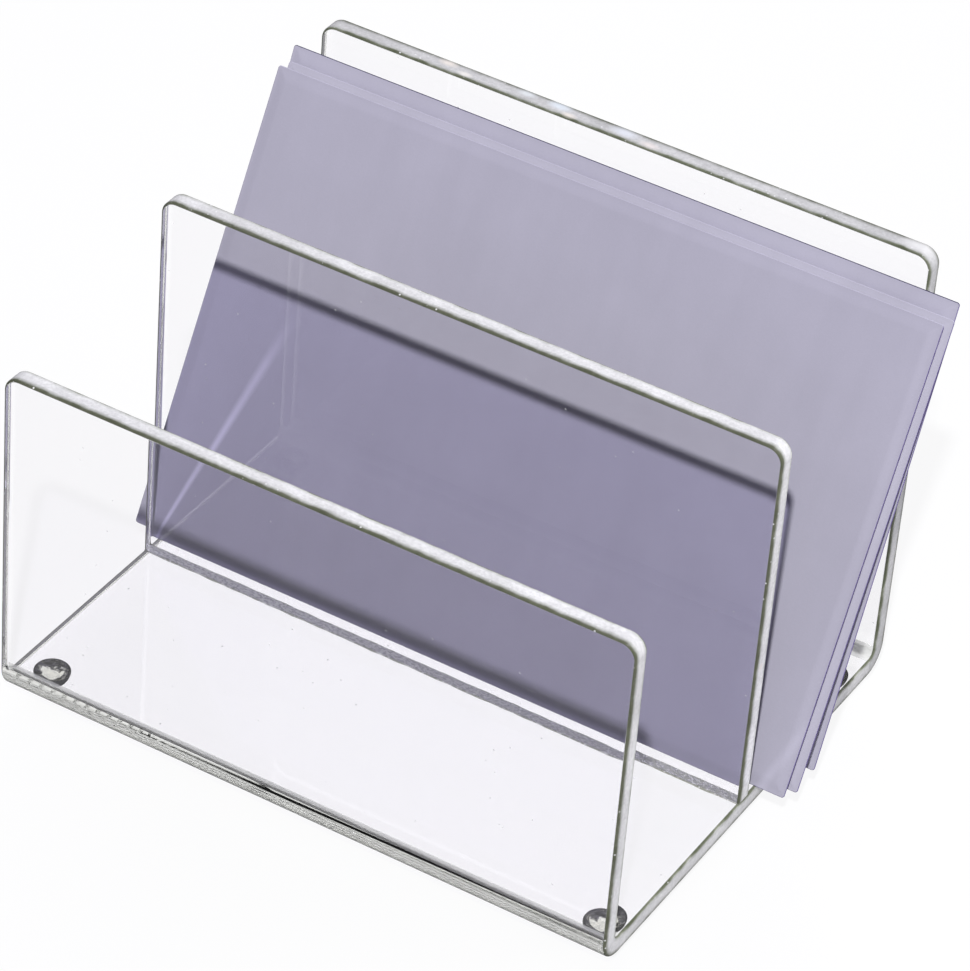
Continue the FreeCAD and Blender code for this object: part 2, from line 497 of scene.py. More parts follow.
@dataclass(frozen=True)
class ClearPolyurethane:
    """Soft clear stick-on foot: a glossy dome with an olive cast in depth and painted shade round its steep
    side.
    """

    refraction: float = 1.50
    dome_tone: Colour = (0.97, 0.97, 0.96)
    light_pass: Colour = (0.70, 0.71, 0.66)
    cast: Colour = (0.42, 0.44, 0.30)
    depth_density: float = 60.0
    painted_rim_shade: Colour = (0.035, 0.037, 0.022)
    rim_cover: float = 0.95

    def material(self) -> bpy.types.Material:
        """Builds the material.

        The point attribute rim grows from 0 at the axis to 1 at the side of the dome, where the steep side
        traps the light; that shade is painted on it as a dark ring.

        Returns:
            The finished material.
        """
        material, graph = new_material("clear_polyurethane")
        ripple = graph.noise(graph.place(), 420.0, 2.0, 0.5)
        uneven = graph.ramp(graph.noise(graph.place(), 360.0, 3.0, 0.6), 0.28, 0.72, -0.34, 0.30)
        rim = graph.ramp(graph.math("ADD", graph.attribute("rim"), uneven), 0.58, 0.72, 0.0, self.rim_cover)
        colour = graph.mix(rim, self.dome_tone, self.painted_rim_shade)
        body = graph.add("BsdfPrincipled", None, Base_Color=colour, Roughness=0.03,
                         IOR=self.refraction, Transmission_Weight=graph.math("SUBTRACT", 1.0, rim),
                         Normal=graph.bump(ripple, 0.2 * MM, 0.25))
        depth = graph.add("VolumeAbsorption", None, Color=(*self.cast, 1), Density=self.depth_density)
        graph.finish(graph.let_light_pass(body.outputs[0], (*self.light_pass, 1)), depth.outputs[0])
        return material


@dataclass(frozen=True)
class PadAdhesive:
    """Clear pressure-sensitive adhesive with a slight haze and trapped air specks."""

    haze: float = 0.05
    tone: Colour = (0.85, 0.86, 0.82)
    light_pass: Colour = (0.96, 0.96, 0.94)

    def material(self) -> bpy.types.Material:
        """Builds the material.

        Returns:
            The finished material.
        """
        material, graph = new_material("pad_adhesive")
        air = graph.noise(graph.place(), 900.0, 3.0, 0.6)
        haze = graph.ramp(air, 0.45, 0.75, 0.3 * self.haze, 4.0 * self.haze)
        film = graph.add("BsdfPrincipled", None, Base_Color=(*self.tone, 1), Roughness=0.4)
        clear = graph.add("BsdfTransparent", None, Color=(*self.light_pass, 1))
        graph.finish(graph.blend(haze, clear.outputs[0], film.outputs[0]))
        return material


@dataclass(frozen=True)
class PaintedLightStreak:
    """A pale streak of painted light on a sheet: from one point to another, widening and fading."""

    start: Place
    end: Place
    start_width: float
    end_width: float
    start_gain: float
    end_gain: float


@dataclass(frozen=True)
class WritingPaper:
    """Smooth lavender writing paper with a faint cloudy formation and fine fibres. Its folds are painted
    darker as shade between the sheets, and its upper fold is painted pale as light, or dark as shade where so
    set.
    """

    name: str = "lavender_paper"
    tone: Colour = (0.440, 0.426, 0.512)
    fold_shade_tone: Colour = (0.15, 0.12, 0.28)
    painted_head_tone: Colour = (0.56, 0.545, 0.65)
    fold_reach: Span = (0.16, 0.55)
    fleck_tone: Colour = (0.75, 0.74, 0.80)
    cloud: float = 0.035
    fibre: float = 0.03
    painted_light_streaks: tuple[PaintedLightStreak, ...] = ()

    def light_streak_gain(self, graph: Graph, streak: PaintedLightStreak) -> Socket:
        """How much one painted light streak brightens the paper.

        The point is turned so that X runs along the streak. The gain fades over the half width to either
        side, which itself grows from start to end, and falls from the start's gain to the end's.

        Args:
            graph: The graph to add to.
            streak: The streak.

        Returns:
            The gain's socket, zero off the streak.
        """
        start, end = Vector(streak.start), Vector(streak.end)
        run = end - start
        length = run.length
        turned = run.to_track_quat("X", "Z").inverted()
        moved = -(turned @ start)
        place = graph.place(turn=tuple(turned.to_euler("XYZ")), move=tuple(moved))
        parts = graph.add("SeparateXYZ", None, Vector=place)
        along = graph.math("DIVIDE", parts.outputs["X"], length)
        width = graph.ramp(along, 0.0, 1.0, streak.start_width, streak.end_width)
        aside = graph.math("DIVIDE", graph.math("ABSOLUTE", parts.outputs["Y"]), width)
        across = graph.ramp(aside, 0.15, 1.0, 1.0, 0.0)
        gain = graph.ramp(along, 0.0, 1.0, streak.start_gain, streak.end_gain)
        begin = graph.ramp(along, -0.02, 0.02, 0.0, 1.0)
        finish = graph.ramp(along, 0.80, 1.02, 1.0, 0.0)
        ends = graph.math("MULTIPLY", begin, finish)
        return graph.math("MULTIPLY", graph.math("MULTIPLY", across, gain), ends)

    def material(self) -> bpy.types.Material:
        """Builds the material. The point attribute edge is 1 on the folds, and head 1 along the upper one.

        Returns:
            The finished material.
        """
        material, graph = new_material(self.name)
        place = graph.place()
        cloud = graph.ramp(graph.noise(place, 34.0, 4.0, 0.6), 0.25, 0.75, 1 - self.cloud, 1 + self.cloud)
        drawn = graph.noise(graph.place(scale=(1.0, 0.15, 0.15)), 150.0, 2.0, 0.5)
        streaky = graph.ramp(drawn, 0.2, 0.8, 1 - self.cloud / 2, 1 + self.cloud / 2)
        grain = graph.noise(place, 2200.0, 4.0, 0.65)
        fibre = graph.ramp(grain, 0.25, 0.75, 1 - self.fibre, 1 + self.fibre)
        level = graph.math("MULTIPLY", graph.math("MULTIPLY", cloud, streaky), fibre)
        # Painted light: pale lines where the divider's edges throw light onto the paper.
        for streak in self.painted_light_streaks:
            level = graph.math("ADD", level, self.light_streak_gain(graph, streak))
        # Painted shade on the folds; the upper fold takes the painted head tone: pale light by default, dark
        # shade on the back envelope.
        fold = graph.mix(graph.attribute("head"), self.fold_shade_tone, self.painted_head_tone)
        tone = graph.mix(graph.ramp(graph.attribute("edge"), *self.fold_reach, 0.0, 1.0), self.tone, fold)
        tone = graph.mix(1.0, tone, graph.grey(level), "MULTIPLY")
        fleck = graph.math("MULTIPLY", graph.specks(place, 80.0, 0.02), 0.4)
        tone = graph.mix(fleck, tone, self.fleck_tone)
        paper = graph.add("BsdfPrincipled", None, Base_Color=tone, Roughness=0.82, IOR=1.45,
                          Specular_IOR_Level=0.25, Normal=graph.bump(grain, 0.05 * MM, 0.25))
        graph.finish(paper.outputs[0])
        return material


@dataclass
class Surface:
    """Points and quads of a closed shape, with optional exact normals and point attributes."""

    points: np.ndarray
    quads: np.ndarray
    normals: np.ndarray | None = None
    attributes: dict[str, np.ndarray] = field(default_factory=dict)

    def make(self, name: str) -> bpy.types.Object:
        """Puts the surface into a new smooth-shaded object at the origin.

        Args:
            name: Name of the object and its mesh.

        Returns:
            The new object.
        """
        mesh = bpy.data.meshes.new(name)
        mesh.vertices.add(len(self.points))
        mesh.vertices.foreach_set("co", self.points.astype(np.float32).ravel())
        mesh.loops.add(self.quads.size)
        mesh.loops.foreach_set("vertex_index", self.quads.astype(np.int32).ravel())
        mesh.polygons.add(len(self.quads))
        mesh.polygons.foreach_set("loop_start", np.arange(0, self.quads.size, 4, dtype=np.int32))
        mesh.update(calc_edges=True)
        mesh.validate()
        mesh.shade_smooth()
        if self.normals is not None:
            mesh.normals_split_custom_set_from_vertices(self.normals)
        for key, values in self.attributes.items():
            layer = mesh.attributes.new(key, "FLOAT", "POINT")
            layer.data.foreach_set("value", values.astype(np.float32))
        made = bpy.data.objects.new(name, mesh)
        bpy.context.scene.collection.objects.link(made)
        return made


def dress(piece: bpy.types.Object, material: bpy.types.Material, body: str, node: str) -> None:
    """Gives a piece its material and its body, and hides the node that it stands for.

    Args:
        piece: The object.
        material: Its finish.
        body: The body that it moves with.
        node: The node that it replaces.
    """
    piece.data.materials.clear()
    piece.data.materials.append(material)
    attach(piece, body)
    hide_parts(node)


@dataclass(frozen=True)
class EdgeProfile:
    """The cross-section of a sheet's edge, from the first broad face round to the second.

    Each entry is one ring round the sheet: how far it lies inside the outline, its height above the first
    face, and the outward and upward parts of its normal.
    """

    inset: np.ndarray
    height: np.ndarray
    outward: np.ndarray
    upward: np.ndarray

    @classmethod
    def polished(cls, thickness: float, radius: float, steps: int = 6) -> "EdgeProfile":
        """A square edge whose two arrises are rounded to quarter circles.

        At turn t of the first arris the inset is r(1 - sin t) and the height r(1 - cos t); the second arris
        mirrors it about the middle of the thickness, with a few rings between them.

        Args:
            thickness: The sheet's thickness.
            radius: The arris radius r.
            steps: Segments in each quarter circle.

        Returns:
            The profile.
        """
        turn = np.linspace(0.0, math.pi / 2, steps + 1)
        inset = radius * (1 - np.sin(turn))
        height = radius * (1 - np.cos(turn))
        middle = np.linspace(radius, thickness - radius, 6)[1:-1]
        flat = np.zeros_like(middle)
        return cls(
            inset=np.concatenate([inset, flat, inset[::-1]]),
            height=np.concatenate([height, middle, thickness - height[::-1]]),
            outward=np.concatenate([np.sin(turn), flat + 1, np.sin(turn)[::-1]]),
            upward=np.concatenate([-np.cos(turn), flat, np.cos(turn)[::-1]]),
        )

    @classmethod
    def folded(cls, thickness: float, fold: float, taper: float, steps: int = 8) -> "EdgeProfile":
        """A paper edge that thins from the filled middle to its fold.

        Each face falls by a smooth step from full thickness to the fold's own thickness over the taper, then
        a half circle of the fold's radius closes it.

        Args:
            thickness: Full thickness in the middle.
            fold: Thickness at the fold.
            taper: Width over which the faces draw together.
            steps: Segments in the taper and in each half of the fold.

        Returns:
            The profile.
        """
        share = np.linspace(0.0, 1.0, steps + 1)
        fall = (thickness - fold) / 2
        flat_height = fall * share * share * (3 - 2 * share)
        tilt = np.arctan(fall / taper * 6 * share * (1 - share))
        turn = np.linspace(0.0, math.pi / 2, steps + 1)[1:]
        inset = np.concatenate([fold / 2 + taper * (1 - share), fold / 2 * (1 - np.sin(turn))])
        height = np.concatenate([flat_height, fall + fold / 2 * (1 - np.cos(turn))])
        outward = np.concatenate([np.sin(tilt), np.sin(turn)])
        upward = np.concatenate([-np.cos(tilt), -np.cos(turn)])
        return cls(
            inset=np.concatenate([inset, inset[::-1][1:]]),
            height=np.concatenate([height, thickness - height[::-1][1:]]),
            outward=np.concatenate([outward, outward[::-1][1:]]),
            upward=np.concatenate([upward, -upward[::-1][1:]]),
        )


@dataclass(frozen=True)
class SheetPath:
    """The line that a sheet follows in the Y-Z plane, measured on its first face from its upper end.

    It runs straight for first_run, and where base_run is given it turns twice through a quarter circle of
    turn_radius, with base_run between the turns and last_run after them.
    """

    start_y: float
    start_z: float
    first_run: float
    lean: float = 0.0
    turn_radius: float = 0.0
    base_run: float = 0.0
    last_run: float = 0.0

    @property
    def turn_run(self) -> float:
        """Length of one quarter turn along the first face."""
        return self.turn_radius * math.pi / 2

    @property
    def length(self) -> float:
        """Length of the whole line."""
        return self.first_run + 2 * self.turn_run + self.base_run + self.last_run

    def stations(self, turn_steps: int) -> np.ndarray:
        """Places along the line where the shape needs points between its two ends.

        Args:
            turn_steps: Segments in each quarter turn.

        Returns:
            Distances along the line, rising.
        """
        if self.turn_radius == 0.0:
            return np.empty(0)
        first = self.first_run + np.linspace(0.0, self.turn_run, turn_steps + 1)
        second = first + self.turn_run + self.base_run
        return np.concatenate([first, second])

    def place(self, along: np.ndarray, height: np.ndarray) -> tuple[np.ndarray, np.ndarray, np.ndarray]:
        """Points at a distance along the line and a height above the first face.

        The heading is turned by the lean and by each quarter turn passed so far. On a turn through angle t
        the first face moves by r(1 - cos t) across and r sin t along its old heading.

        Args:
            along: Distances along the first face.
            height: Heights above the first face, of the same shape.

        Returns:
            The y and z of the points, and the heading's angle from straight down.
        """
        radius, quarter = self.turn_radius, math.pi / 2
        still = np.zeros_like(along)
        one, two, across, up, down = still, still, still, still, along
        if radius:
            far = self.first_run + self.turn_run + self.base_run
            one = quarter * np.clip((along - self.first_run) / self.turn_run, 0.0, 1.0)
            two = quarter * np.clip((along - far) / self.turn_run, 0.0, 1.0)
            down = np.minimum(along, self.first_run)
            across = np.clip(along - self.first_run - self.turn_run, 0.0, self.base_run)
            up = np.maximum(along - far - self.turn_run, 0.0)
        y = radius * (1 - np.cos(one)) + across + radius * np.sin(two)
        z = -down - radius * np.sin(one) + radius * (1 - np.cos(two)) + up
        heading = one + two - self.lean
        lean_y = y * math.cos(self.lean) + z * math.sin(self.lean)
        lean_z = z * math.cos(self.lean) - y * math.sin(self.lean)
        return (self.start_y + lean_y + height * np.cos(heading),
                self.start_z + lean_z + height * np.sin(heading),
                heading)


@dataclass(frozen=True)
class SheetShape:
    """A sheet of even outline: its path, width, corners and edge profile.

    A crisp edge is marked as edge over its whole arris. gather is the painted light level of the edges at
    the left and at the right side, far_gather its factor on the part past the second turn, and bond_fade how
    much darker an open foot's cement is at its right end.
    """

    path: SheetPath
    centre_x: float
    width: float
    upper_radius: float
    lower_radius: float
    profile: EdgeProfile
    open_foot: bool = False
    crisp_edge: bool = False
    gather: Span = (1.0, 1.0)
    far_gather: float = 1.0
    bond_fade: float = 0.0
    least_radius: float = 0.6 * MM
    corner_steps: int = 14
    turn_steps: int = 48

    def rings(self) -> tuple[np.ndarray, np.ndarray, np.ndarray, np.ndarray]:
        """The right half of each ring of the edge profile, laid flat.

        A ring with inset d has corners of radius p, which is the outline's radius less d but never less than
        the least radius, about centres that lie d + p from both sides. At turn t of an upper corner it lies
        d + p - p cos t along the path and half the width less d + p - p sin t from the middle, and its
        inward normal is (cos t, -sin t).

        Returns:
            Distance along the path and from the middle, one row per ring, and the two parts of the inward
            normal, one row in all.
        """
        turn = np.linspace(0.0, math.pi / 2, self.corner_steps + 1)
        half, length = self.width / 2, self.path.length
        inset = self.profile.inset[:, None]
        stations = self.path.stations(self.turn_steps)[None, :]
        upper = np.maximum(self.upper_radius - inset, min(self.least_radius, self.upper_radius))
        along = [inset + upper - upper * np.cos(turn), stations + 0 * inset]
        aside = [half - inset - upper + upper * np.sin(turn), half - inset + 0 * stations]
        in_along = [np.cos(turn), 0 * stations[0]]
        in_aside = [-np.sin(turn), 0 * stations[0] - 1]
        if self.open_foot:
            along.append(length + 0 * inset)
            aside.append(half - inset)
            in_along.append(np.array([0.0]))
            in_aside.append(np.array([-1.0]))
        else:
            back = turn[::-1]
            lower = np.maximum(self.lower_radius - inset, min(self.least_radius, self.lower_radius))
            along.append(length - inset - lower + lower * np.cos(back))
            aside.append(half - inset - lower + lower * np.sin(back))
            in_along.append(-np.cos(back))
            in_aside.append(-np.sin(back))
        return (np.concatenate(along, axis=1), np.concatenate(aside, axis=1),
                np.concatenate(in_along), np.concatenate(in_aside))

    def surface(self) -> Surface:
        """The sheet as one closed surface with exact normals.

        Each ring of the edge profile is the outline moved inwards by the ring's inset and lifted by its
        height; the broad faces are ladders of quads between the two sides of the first and last ring.

        Returns:
            The surface, with the point attributes edge, across, trapped, gather, bond and head, which is 1
            along the upper edge.
        """
        ring_along, ring_aside, in_along, in_aside = self.rings()
        rings, count = ring_along.shape
        height = np.broadcast_to(self.profile.height[:, None], ring_along.shape)
        y, z, heading = self.path.place(ring_along, height)

        outward, upward = self.profile.outward[:, None], self.profile.upward[:, None]
        normal_x = -outward * in_aside[None, :]
        along_part = -outward * in_along[None, :]
        normal_y = along_part * np.sin(heading) + upward * np.cos(heading)
        normal_z = -along_part * np.cos(heading) + upward * np.sin(heading)
        points = self.both_sides(ring_aside, y, z, self.centre_x)
        normals = self.both_sides(normal_x, normal_y, normal_z, 0.0)

        size = 2 * count
        around = np.arange(size) if not self.open_foot else np.delete(np.arange(size), count - 1)
        ring = np.arange(rings - 1)[:, None] * size
        here, after = around[None, :], (around[None, :] + 1) % size
        sides = np.stack([ring + here, ring + after, ring + size + after, ring + size + here], axis=-1)
        rung = np.arange(count - 1)
        first = np.stack([rung, size - 1 - rung, size - 2 - rung, rung + 1], axis=-1)
        last = first[:, ::-1] + (rings - 1) * size
        quads = [sides.reshape(-1, 4), first, last]

        outward = self.profile.outward
        edge = np.repeat(np.where(outward > NEARLY_ZERO, 1.0 if self.crisp_edge else outward, 0.0), size)
        across = np.repeat(self.profile.height / self.profile.height.max(), size)
        past_second = np.cos(np.tile(np.concatenate([heading[0], heading[0][::-1]]), rings)) < -NEARLY_ZERO
        trapped = np.where(past_second, 1 - across, across) * (edge > 0)
        low, high = self.gather
        share = (points[:, 0] - self.centre_x) / self.width + 0.5
        gather = (low + (high - low) * share) * np.where(past_second, self.far_gather, 1.0)
        bond = np.zeros(len(points))
        head = np.tile(np.clip(np.concatenate([in_along, in_along[::-1]]), 0.0, 1.0), rings)
        if self.open_foot:
            cap = np.concatenate([np.arange(rings) * size + count - 1, np.arange(rings)[::-1] * size + count])
            start, pair = len(points), np.arange(rings - 1)
            points = np.concatenate([points, points[cap]])
            foot = np.array([0.0, -math.sin(self.path.lean), -math.cos(self.path.lean)])
            normals = np.concatenate([normals, np.tile(foot, (len(cap), 1))])
            quads.append(np.stack([start + pair, start + 2 * rings - 1 - pair, start + 2 * rings - 2 - pair,
                                   start + pair + 1], axis=-1))
            edge, across, trapped, head = (np.concatenate([part, 0.0 * cap])
                                           for part in (edge, across, trapped, head))
            gather = np.concatenate([gather, 1.0 - self.bond_fade * share[cap]])
            bond = np.concatenate([bond, 0.0 * cap + 1.0])
        return Surface(points, np.concatenate(quads), normals,
                       {"edge": edge, "across": across, "trapped": trapped, "gather": gather, "bond": bond,
                        "head": head})

    @staticmethod
    def both_sides(x: np.ndarray, y: np.ndarray, z: np.ndarray, centre: float) -> np.ndarray:
        """Joins the right half of each ring to its mirror image, as one loop per ring.

        Args:
            x: Parts along X, measured from the middle.
            y: Parts along Y.
            z: Parts along Z.
            centre: The middle, along X.

        Returns:
            One row of three per point, ring by ring.
        """
        right = np.stack([centre + x, y, z], axis=-1)
        left = np.stack([centre - x, y, z], axis=-1)
        return np.concatenate([right, left[:, ::-1]], axis=1).reshape(-1, 3)


def turned_surface(radius: np.ndarray, height: np.ndarray, centre: Place, segments: int = 64) -> Surface:
    """A closed shape turned about a vertical axis.

    The profile runs from the upper face's rim outwards and down to the lower face's rim. Point i of ring k is
    at angle 2 pi i / segments, and both flat faces are ladders of quads across their rims. The attribute rim
    is a point's distance from the axis as a share of the greatest one, and 0 round the upper face.

    Args:
        radius: Distances of the profile's points from the axis.
        height: Their heights.
        centre: Where the axis meets height zero.
        segments: Points round each ring, an even number.

    Returns:
        The surface.
    """
    angle = np.arange(segments) * 2 * math.pi / segments
    rings = len(radius)
    x = centre[0] + radius[:, None] * np.cos(angle)
    y = centre[1] + radius[:, None] * np.sin(angle)
    z = centre[2] + height[:, None] + 0 * angle
    points = np.stack([x, y, z], axis=-1).reshape(-1, 3)
    ring = np.arange(rings - 1)[:, None] * segments
    here = np.arange(segments)[None, :]
    after = (here + 1) % segments
    sides = np.stack([ring + here, ring + segments + here, ring + segments + after, ring + after], axis=-1)
    rung = np.arange(segments // 2 - 1)
    top = np.stack([rung, rung + 1, segments - 2 - rung, segments - 1 - rung], axis=-1)
    bottom = top[:, ::-1] + (rings - 1) * segments
    run_r, run_z = np.gradient(radius), np.gradient(height)
    size = np.maximum(np.hypot(run_r, run_z), 1e-12)
    out, up = -run_z / size, run_r / size
    out[0], up[0], out[-1], up[-1] = 0.0, 1.0, 0.0, -1.0
    normals = np.stack([out[:, None] * np.cos(angle), out[:, None] * np.sin(angle), up[:, None] + 0 * angle],
                       axis=-1).reshape(-1, 3)
    rim = np.repeat(np.where(height < height.max(), radius / radius.max(), 0.0), segments)
    return Surface(points, np.concatenate([sides.reshape(-1, 4), top, bottom]), normals, {"rim": rim})


def slab_surface(lower: np.ndarray, upper: np.ndarray) -> Surface:
    """A thin closed slab between two grids of points of the same shape.

    The upper grid's rows run so that its quads (row, column), (row, column + 1), (row + 1, column + 1) face
    outwards, the lower grid is turned over, and a rim of quads joins their borders.

    Args:
        lower: Points of shape (rows, columns, 3).
        upper: Points of the same shape.

    Returns:
        The surface.
    """
    rows, columns = upper.shape[:2]
    number = np.arange(rows * columns).reshape(rows, columns)
    face = np.stack([number[:-1, :-1], number[:-1, 1:], number[1:, 1:], number[1:, :-1]], axis=-1)
    face = face.reshape(-1, 4)
    rim = np.concatenate([number[0, :-1], number[:-1, -1], number[-1, :0:-1], number[:0:-1, 0]])
    after = np.roll(rim, -1)
    count = rows * columns
    sides = np.stack([after, rim, rim + count, after + count], axis=-1)
    points = np.concatenate([upper.reshape(-1, 3), lower.reshape(-1, 3)])
    return Surface(points, np.concatenate([face, face[:, ::-1] + count, sides]))


class Corner(Enum):
    """Corner of the base where a foot stands, as its sides of the middle along X and Y."""

    FRONT_LEFT = (-1, -1)
    FRONT_RIGHT = (1, -1)
    BACK_LEFT = (-1, 1)
    BACK_RIGHT = (1, 1)

    @property
    def word(self) -> str:
        """The corner's name in the nodes."""
        return self.name.lower()


@dataclass
class AcrylicBody:
    """The bent sheet and the divider that stands in it."""

    sheet_thickness: float = 6.0 * MM
    width: float = 203.0 * MM
    outer_depth: float = 165.0 * MM
    base_bottom: float = 5.15 * MM
    front_top: float = 118.55 * MM
    back_top: float = 154.15 * MM
    bend_outer_radius: float = 8.5 * MM
    divider_front: float = -6.3 * MM
    divider_bottom: float = 11.35 * MM
    divider_top: float = 136.65 * MM
    corner_radius: float = 5.0 * MM
    arris_radius: float = 0.8 * MM
    # Painted light levels of the edges: sheet and divider at left and right, and the back panel's factor.
    sheet_gather: Span = (0.90, 0.97)
    back_gather: float = 0.80
    divider_gather: Span = (0.86, 1.03)
    bond_fade: float = 0.45
    body: str = "sorter"
    finish: ClearAcrylic = field(default_factory=ClearAcrylic)

    def bent_sheet(self) -> Surface:
        """Front panel, base and back panel as one bent sheet.

        Returns:
            The surface.
        """
        turn = self.bend_outer_radius
        path = SheetPath(start_y=-self.outer_depth / 2, start_z=self.front_top,
                         first_run=self.front_top - self.base_bottom - turn, turn_radius=turn,
                         base_run=self.outer_depth - 2 * turn,
                         last_run=self.back_top - self.base_bottom - turn)
        return SheetShape(path, 0.0, self.width, self.corner_radius, self.corner_radius,
                          EdgeProfile.polished(self.sheet_thickness, self.arris_radius), crisp_edge=True,
                          gather=self.sheet_gather, far_gather=self.back_gather).surface()

    def divider(self) -> Surface:
        """The upright plate, square at its cemented foot.

        Returns:
            The surface.
        """
        path = SheetPath(start_y=self.divider_front, start_z=self.divider_top,
                         first_run=self.divider_top - self.divider_bottom)
        return SheetShape(path, 0.0, self.width, self.corner_radius, 0.0,
                          EdgeProfile.polished(self.sheet_thickness, self.arris_radius), open_foot=True,
                          crisp_edge=True, gather=self.divider_gather, bond_fade=self.bond_fade).surface()

    def build(self) -> list[bpy.types.Object]:
        """Builds and dresses the two sheets.

        Returns:
            The new objects.
        """
        acrylic = self.finish.material()
        sheet = self.bent_sheet().make("bent_acrylic_sheet")
        dress(sheet, acrylic, self.body, "outer_sheet")
        divider = self.divider().make("acrylic_divider")
        dress(divider, acrylic, self.body, "middle_divider")
        return [sheet, divider]


@dataclass
class CementJoint:
    """The cement film under the divider and the thin uneven beads that were squeezed out beside it.

    bead_cycles are the least and greatest wave numbers of the beads' waves, in radians per metre.
    """

    half_width: float = 101.2 * MM
    front_y: float = -6.0 * MM
    back_y: float = -0.6 * MM
    bottom: float = 11.15 * MM
    top: float = 11.35 * MM
    gap: float = 0.02 * MM
    bead_out: float = 0.42 * MM
    bead_up: float = 0.40 * MM
    bead_columns: int = 420
    bead_waves: int = 14
    bead_cycles: Span = (60.0, 900.0)
    bead_mean: float = 0.72
    bead_swell: float = 0.26
    bead_limits: Span = (0.30, 1.20)
    bead_root: float = 0.02
    divider_front: float = -6.3 * MM
    divider_back: float = -0.3 * MM
    body: str = "sorter"
    seed: int = 11
    finish: CuredCement = field(default_factory=CuredCement)

    def film(self) -> Surface:
        """The flat film, as a slab of 60 by 2 cells.

        Returns:
            The surface.
        """
        x = np.linspace(-self.half_width, self.half_width, 61)
        y = np.linspace(self.front_y, self.back_y, 3)
        grid_y, grid_x = np.meshgrid(y, x, indexing="ij")
        low = np.stack([grid_x, grid_y, np.full_like(grid_x, self.bottom + self.gap)], axis=-1)
        high = np.stack([grid_x, grid_y, np.full_like(grid_x, self.top - self.gap)], axis=-1)
        return slab_surface(low, high)

    def bead(self, wall_y: float, side: int) -> Surface:
        """One bead along the corner between the divider and the base.

        Its section is a hollow fillet: at turn t it lies r(x)(1 - sin t) out from the wall and
        h(x)(1 - cos t) above the base. Both r and h are a full size times a mean share plus a sum of sine
        waves of random length and phase, held between a least and a greatest share. The fillet's root lies
        a little way out from the corner itself, so that the bead has a thickness everywhere.

        Args:
            wall_y: The divider's face.
            side: -1 for the front bead and 1 for the back one.

        Returns:
            The surface.
        """
        random = np.random.default_rng(self.seed + side)
        x = np.linspace(-self.half_width, self.half_width, self.bead_columns)
        waves = random.uniform(*self.bead_cycles, self.bead_waves)[:, None]
        phases = random.uniform(0, 2 * math.pi, self.bead_waves)[:, None]
        swell = np.sin(waves * x[None, :] + phases).sum(axis=0) / math.sqrt(self.bead_waves)
        size = np.clip(self.bead_mean + self.bead_swell * swell, *self.bead_limits)
        turn = np.linspace(0.0, math.pi / 2, 7)
        reach = self.bead_out * size[None, :] * (1 - np.sin(turn))[:, None]
        climb = self.bead_up * size[None, :] * (1 - np.cos(turn))[:, None]
        grid_x = np.broadcast_to(x[None, :], reach.shape)
        face = np.stack([grid_x, wall_y + side * (self.gap + reach), self.bottom + self.gap + climb], axis=-1)
        root = np.stack([grid_x, wall_y + side * self.gap * np.ones_like(reach),
                         np.full_like(reach, self.bottom + self.gap)], axis=-1)
        root = root * (1 - self.bead_root) + face * self.bead_root
        return slab_surface(root, face) if side < 0 else slab_surface(root[:, ::-1], face[:, ::-1])

    def build(self) -> list[bpy.types.Object]:
        """Builds and dresses the film and both beads.

        Returns:
            The new objects.
        """
        cement = self.finish.material()
        parts = {
            "cement_film": self.film(),
            "cement_bead_front": self.bead(self.divider_front, -1),
            "cement_bead_back": self.bead(self.divider_back, 1),
        }
        made = []
        for name, surface in parts.items():
            piece = surface.make(name)
            dress(piece, cement, self.body, "divider_cement")
            made.append(piece)
        return made


